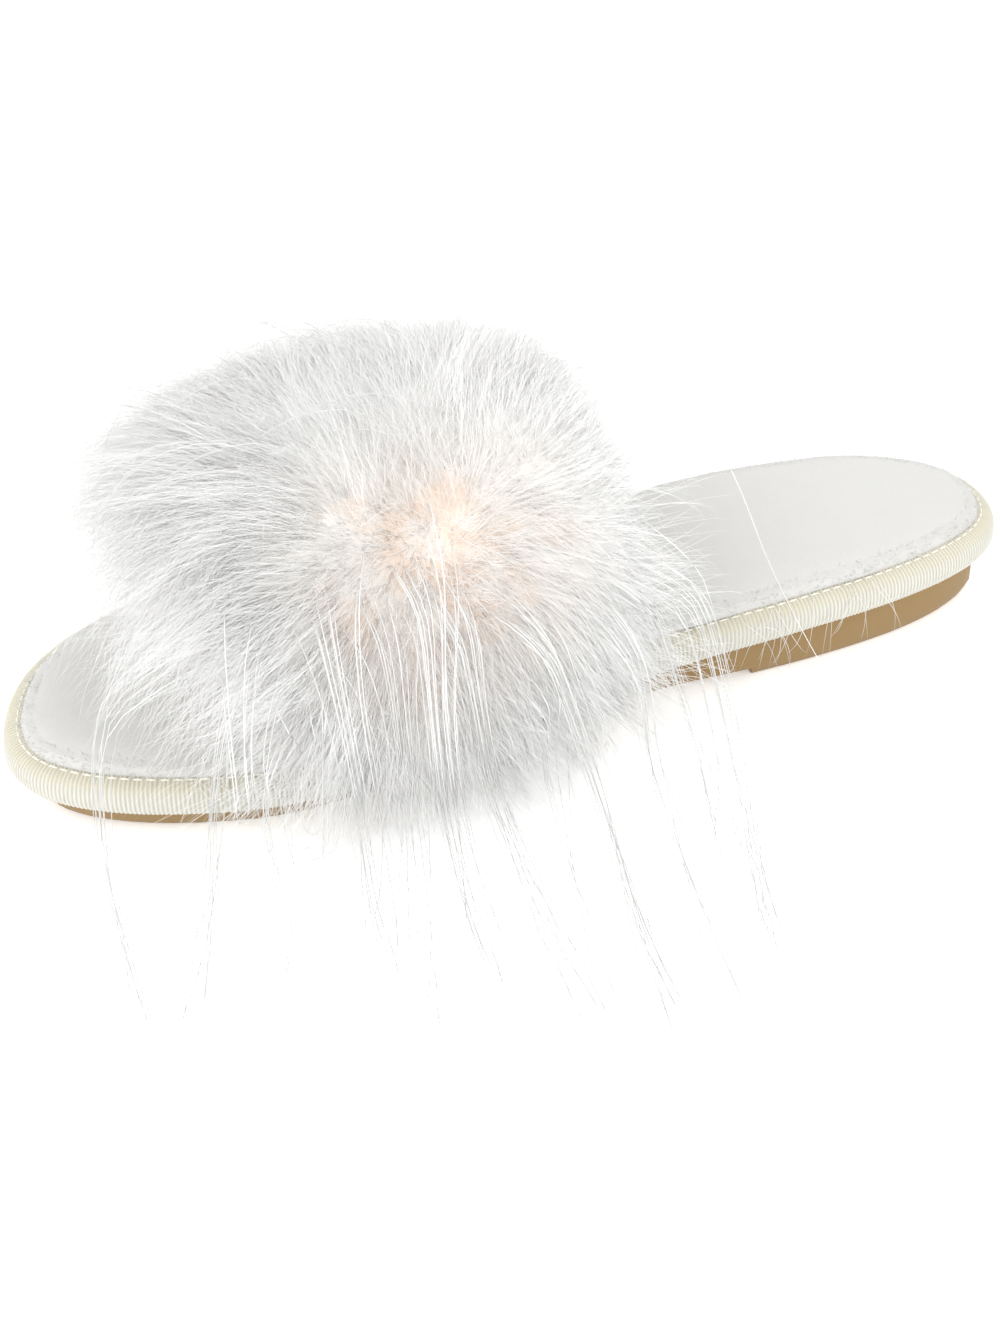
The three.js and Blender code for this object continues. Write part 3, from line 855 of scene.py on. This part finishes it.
# %% [markdown]
# ## The plush of the insole
#
# The top of the insole is brushed so short that bumps show it. Round the edge the pile is real hair, and its
# tips stand out over the ribbon's lap as a soft rim.

# %% Pile
PILE_COUNT = 8500
PILE_LENGTH = 3.4 * MM
PILE_WIDTH = 0.12 * MM
PILE_DEPTH = 0.6 * MM
pile_paint = hair_finish("pile", (0.76, 0.755, 0.735), 0.03, roughness=0.8)


def at_rim(centres, normals):
    """True on the slope between the insole's top and its side."""
    return abs(normals[:, 2] - 0.58) < 0.36


roots, normals = points_on(insole.data, PILE_COUNT, 21, at_rim)
chance = np.random.default_rng(22)
from_middle = unit((roots - np.array(footbed_middle)) * (0.35, 1, 0))
lean = 0.8 * unit(chance.normal(size=roots.shape)) + 0.9 * from_middle + np.array((0.2, 0.1, 0.35))
lengths = PILE_LENGTH * chance.uniform(0.6, 1.15, PILE_COUNT)
sunk = roots - normals * PILE_DEPTH
lines = hair_lines(sunk, normals, unit(lean), lengths, bend=1.4, wave=0.4, steps=2, seed=23)
widths = PILE_WIDTH * chance.uniform(0.7, 1.2, PILE_COUNT)
grow("insole_rim_pile", lines, widths, pile_paint, 24)

# %% [markdown]
# ## The coat
#
# From the whorl the hair sweeps outwards and down. Fine down fills the dome, and longer hair covers it in
# plumes: each hair has a root of its own, and its tip is drawn to the tip of the nearest lock.

# %% Where the coat grows
WHORL_SIZE = 13 * MM
COWLICK_SIZE = 19 * MM


def outside_of_band(centres, normals):
    """True where a face of the underfur looks away from the band."""
    nearest = [band_tree.find_nearest(Vector(centre)) for centre in centres]
    away = np.array([found[3] for found in nearest])
    facing = (unit(centres - np.array([found[0] for found in nearest])) * normals).sum(axis=1)
    return (away > 4 * MM) & (facing > -0.1)


def swirl(place, size):
    """Smooth noise with three parts, each from its own layer of one field."""
    return [noise.noise(Vector(place) / size + Vector((0, 0, 31 * part))) for part in range(3)]


def combed(roots, normals, seed, unruly, fall=0.55):
    """The direction that hair lies in: along the surface, away from the whorl, down, and over the toe."""
    chance = np.random.default_rng(seed)
    cowlicks = np.array([swirl(root, COWLICK_SIZE) for root in roots])
    flow = unit(roots - whorl) + fall * np.array((0, 0, -1)) + unruly * chance.normal(size=roots.shape)
    flow += 0.9 * cowlicks + toe_side(roots) * np.array((0.9, 0.1, 0))
    flow -= (flow * normals).sum(axis=1)[:, None] * normals
    return unit(flow)


def toe_side(roots):
    """From 0 over the instep to 1 at the toe, where the fur is longest."""
    return np.clip((roots[:, :1] - 140 * MM) / (45 * MM), 0, 1)


def nearest_of(roots, count):
    """For each root, which of the first count roots is the nearest."""
    tree = KDTree(count)
    for index in range(count):
        tree.insert(roots[index], index)
    tree.balance()
    return np.array([tree.find(root)[1] for root in roots])


# %% Coat layers
coat_paint = hair_finish("coat", fur_colour, 0.015, warm_shade_patches, roughness=0.75)
coat_paint.surface.inputs["Specular IOR Level"].default_value = 0.25
ROOT_DEPTH = 1.5 * MM


def coat(name, count, locks, length, width, standing, unruly, amount, steps, seed):
    """A layer of fur with a lock for every few hairs. At the whorl its hairs lie every way."""
    chance = np.random.default_rng(seed)
    roots, normals = points_on(underfur.data, count, seed, outside_of_band)
    leaders = nearest_of(roots, locks)
    at_whorl = np.exp(-(np.linalg.norm(roots - whorl, axis=1) / WHORL_SIZE) ** 2)[:, None]
    over = combed(roots, normals, seed + 1, unruly) + 1.6 * at_whorl * chance.normal(size=roots.shape)
    over = unit(over + over[leaders] * 2 * amount)
    stands = standing * (1 - 0.5 * at_whorl)
    lock_lengths = length * chance.uniform(0.75, 1.2, count)[leaders]
    lengths = lock_lengths * chance.uniform(0.65, 1.1, count) * (1 + 1.3 * toe_side(roots)[:, 0])
    start = unit(normals + 0.5 * over)
    end = unit(normals * stands + over * (1 - stands))
    sunk = roots - normals * ROOT_DEPTH
    lines = hair_lines(sunk, start, end, lengths, bend=1.5, wave=0.3, steps=steps, seed=seed + 2)
    lines = gather(lines, leaders, amount)
    grow(name, lines, width * chance.uniform(0.6, 1.2, count), coat_paint, seed + 3)


coat(
    "fur_down_a", 16000, locks=2600, length=11 * MM, width=0.2 * MM,
    standing=0.34, unruly=0.5, amount=0.2, steps=2, seed=100,
)
coat(
    "fur_down_b", 9500, locks=1500, length=15 * MM, width=0.15 * MM,
    standing=0.26, unruly=0.45, amount=0.3, steps=3, seed=150,
)
coat(
    "fur_coat", 8000, locks=620, length=25 * MM, width=0.12 * MM,
    standing=0.16, unruly=0.3, amount=0.45, steps=4, seed=200,
)

# %% [markdown]
# ## The locks
#
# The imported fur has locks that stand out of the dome, and they say where the fur is longest: over the toe,
# and down the sides. Random points on them are points that long hairs pass through. Each of these hairs
# starts where the underfur is nearest.

# %% Locks
LOCK_POINTS = 26000
LOCK_HAIRS = 5000
SHORTEST_LOCK = 4 * MM
LONGEST_LOCK = 60 * MM
underfur_tree = BVHTree.FromObject(underfur, bpy.context.evaluated_depsgraph_get())
bm = cage_of("fur")
lock_mesh = bpy.data.meshes.new("packed_locks")
bm.to_mesh(lock_mesh)
bm.free()
chance = np.random.default_rng(300)
routes = []
for point in points_on(lock_mesh, LOCK_POINTS, 301)[0]:
    place, normal, _, length = underfur_tree.find_nearest(Vector(point))
    if SHORTEST_LOCK < length < LONGEST_LOCK:
        place, normal = np.array(place), np.array(normal)
        root = place + 2 * chance.normal(size=3) * MM - normal * MM
        through = point + (1 + 0.06 * length / MM) * chance.normal(size=3) * MM
        middle = 0.5 * (root + through) + 0.15 * length * normal
        tip = through + (through - middle) * chance.uniform(0.3, 0.9) - np.array((0, 0, 0.1 * length))
        routes.append([root, middle, through, tip])
lines = smooth_line(np.array(routes[:LOCK_HAIRS]), 5)
widths = chance.uniform(0.08, 0.13, len(lines)) * MM
grow("fur_locks", lines, widths, coat_paint, 302)

# %% [markdown]
# ## The haze and the drape
#
# Long fine hairs stand off the coat. Some make a haze all round the dome. Others fall from its toe side and
# come to lie on the insole.

# %% Haze
HAZE_COUNT = 3200
roots, normals = points_on(underfur.data, HAZE_COUNT, 400, outside_of_band)
over = combed(roots, normals, 401, unruly=0.25, fall=0.9)
chance = np.random.default_rng(402)
lengths = chance.uniform(24, 46, HAZE_COUNT) * (1 + 0.2 * toe_side(roots)[:, 0]) * MM
start = unit(normals * 0.6 + over)
end = unit(over + np.array((0, 0, -0.9)))
lines = hair_lines(roots, start, end, lengths, bend=1.3, wave=0.08, steps=5, seed=403)
widths = chance.uniform(0.06, 0.11, HAZE_COUNT) * MM
grow("fur_haze", lines, widths, coat_paint, 404)

# %% Drape
DRAPE_COUNT = 700
DRAPE_FLOOR = 23 * MM


def at_toe(centres, normals):
    """True where the underfur faces the toe."""
    return (centres[:, 0] > 165 * MM) & (normals[:, 0] > 0.15)


roots, normals = points_on(underfur.data, DRAPE_COUNT, 410, at_toe)
drape_chance = np.random.default_rng(411)
start = unit(normals + np.array((0.7, 0.2, 0)))
end = unit(np.array((0.3, 0.15, -1)) + 0.25 * drape_chance.normal(size=roots.shape))
lengths = drape_chance.uniform(26, 44, DRAPE_COUNT) * MM
lines = hair_lines(roots, start, end, lengths, bend=1.2, wave=0.15, steps=5, seed=412)
lines[..., 2] = np.maximum(lines[..., 2], DRAPE_FLOOR)
widths = drape_chance.uniform(0.08, 0.14, DRAPE_COUNT) * MM
grow("fur_toe_drape", lines, widths, coat_paint, 413)

# %% [markdown]
# ## Guard hairs
#
# Guard hairs are longer, thicker and straighter than the coat, and greyer towards the tip, which is painted
# shade:
# thin white hair looks grey where it lies on the white floor. A few arch from the dome's top over the toe.

# %% Arcs
ARC_COUNT = 26
# The grey tip colour is painted shade, for hairs that lie on the white floor.
guard_paint = hair_finish("guard_hair", (0.92, 0.92, 0.91), 0.05, tip=(0.58, 0.58, 0.57), roughness=0.45)
arc_roots = np.stack([
    chance.uniform(100, 172, ARC_COUNT), chance.uniform(-30, 25, ARC_COUNT), np.full(ARC_COUNT, 140)
], axis=1) * MM
arcs = []
for above in arc_roots:
    root = np.array(underfur_tree.ray_cast(Vector(above), Vector((0, 0, -1)))[0])
    reach = chance.uniform(38, 62) * MM
    side = chance.uniform(-8, 20) * MM
    arcs.append([
        root,
        root + np.array((0.4 * reach, 0.3 * side, 11 * MM)),
        root + np.array((0.8 * reach, 0.7 * side, 3 * MM)),
        root + np.array((reach, side, -16 * MM - 0.2 * reach)),
    ])
widths = chance.uniform(0.18, 0.28, ARC_COUNT) * MM
grow("fur_arcs", smooth_line(np.array(arcs), 12), widths, guard_paint, 405)

# %% [markdown]
# ## Wisps
#
# On the big-toe side the guard hairs hang in wisps, down over the coat and the sole, and most of them reach
# the floor, where they lie spread. A wisp has a row of places in millimetres: where it leaves the dome, by
# its place along the shoe and its height, where it hangs, where it passes the sole, and where its tip lies.

# %% Wisps
wisps = [
    {"root": (196, 66), "hang": (200, 38, 38), "foot": (205, 44, 12), "tip": (209, 90, 1), "hairs": 7},
    {"root": (178, 66), "hang": (181, 51, 38), "foot": (185, 51, 14), "tip": (201, 98, 1), "hairs": 8},
    {"root": (176, 65), "hang": (177, 62, 39), "foot": (176, 58, 24), "tip": (175, 53, 12), "hairs": 8},
    {"root": (170, 38), "hang": (172, 56, 24), "foot": (173, 62, 12), "tip": (180, 106, 1), "hairs": 5},
    {"root": (161, 43), "hang": (161, 57, 31), "foot": (163, 60, 18), "tip": (163, 60, 5), "hairs": 6},
    {"root": (159, 71), "hang": (157, 64, 42), "foot": (154, 62, 15), "tip": (160, 92, 1), "hairs": 10},
    {"root": (146, 63), "hang": (145, 61, 38), "foot": (144, 63, 14), "tip": (159, 115, 1), "hairs": 9},
    {"root": (133, 74), "hang": (138, 67, 41), "foot": (135, 64, 12), "tip": (142, 106, 1), "hairs": 12},
    {"root": (128, 65), "hang": (127, 60, 38), "foot": (124, 63, 13), "tip": (127, 127, 1), "hairs": 12},
    {"root": (109, 34), "hang": (108, 56, 22), "foot": (109, 58, 11), "tip": (120, 112, 1), "hairs": 6},
    {"root": (114, 56), "hang": (107, 57, 37), "foot": (102, 66, 12), "tip": (112, 131, 1), "hairs": 12},
    {"root": (92, 46), "hang": (88, 57, 28), "foot": (88, 64, 12), "tip": (95, 129, 1), "hairs": 8},
    {"root": (86, 52), "hang": (79, 46, 32), "foot": (77, 63, 11), "tip": (81, 88, 1), "hairs": 8},
    {"root": (76, 60), "hang": (69, 46, 34), "foot": (71, 69, 11), "tip": (86, 120, 1), "hairs": 12},
]

chance = np.random.default_rng(500)
routes = []
for wisp in wisps:
    root_x, root_z = wisp["root"]
    place, normal, _, _ = underfur_tree.find_nearest(Vector((root_x, 60, root_z)) * MM)
    hang, foot, tip = (np.array(wisp[key]) * MM for key in ("hang", "foot", "tip"))
    for _ in range(wisp["hairs"]):
        spread = chance.normal(size=3) * MM
        root = np.array(place) + spread * (5, 1, 4)
        over_coat = root + 0.35 * (hang - root) + np.array(normal) * 6 * MM
        end = tip + chance.normal(size=3) * (3, 9, 0) * MM
        on_floor = 0.5 * (foot + end) + spread * (1.5, 2, 0)
        on_floor[2] = end[2] + chance.uniform(1, 4) * MM
        routes.append([root, over_coat, hang + spread * (2, 1, 2), foot + spread * (2, 1, 1), on_floor, end])
lines = smooth_line(np.array(routes), 16)
widths = chance.uniform(0.22, 0.38, len(lines)) * MM
grow("fur_floor_wisps", lines, widths, guard_paint, 501, taper=0.4)

# %% [markdown]
# ## Single hairs
#
# One long hair falls over the heel, and short ones lie over the edge and the sole on both sides of the fur.

# %% Single hairs
single_route = [(92, 6, 86), (72, 14, 78), (52, 16, 58), (41, 24, 28), (37, 38, 14), (33, 46, 5)]
lines = smooth_line(np.array([single_route]) * MM, 24)
grow("fur_single_hair", lines, np.array([0.3]) * MM, coat_paint, 502, taper=0.5)

low_x = np.concatenate([chance.uniform(8, 62, 24), chance.uniform(150, 196, 22)])
routes = []
for x in low_x:
    edge = np.array(ribbon_tree.find_nearest(Vector((x, 70, 16)) * MM)[0])
    ahead = np.array((chance.choice((-1, 1)) * chance.uniform(2, 9), 0, 0)) * MM
    start = edge + np.array((0, -1, chance.uniform(2, 6))) * MM
    middle = edge + ahead * 0.6 + np.array((0, chance.uniform(1, 3), chance.uniform(-5, 0))) * MM
    end = edge + ahead + np.array((0, chance.uniform(0, 4), chance.uniform(-13, -6))) * MM
    routes.append([start, middle, end])
widths = np.full(len(routes), 0.16) * MM
grow("fur_low_hairs", smooth_line(np.array(routes), 8), widths, guard_paint, 503)
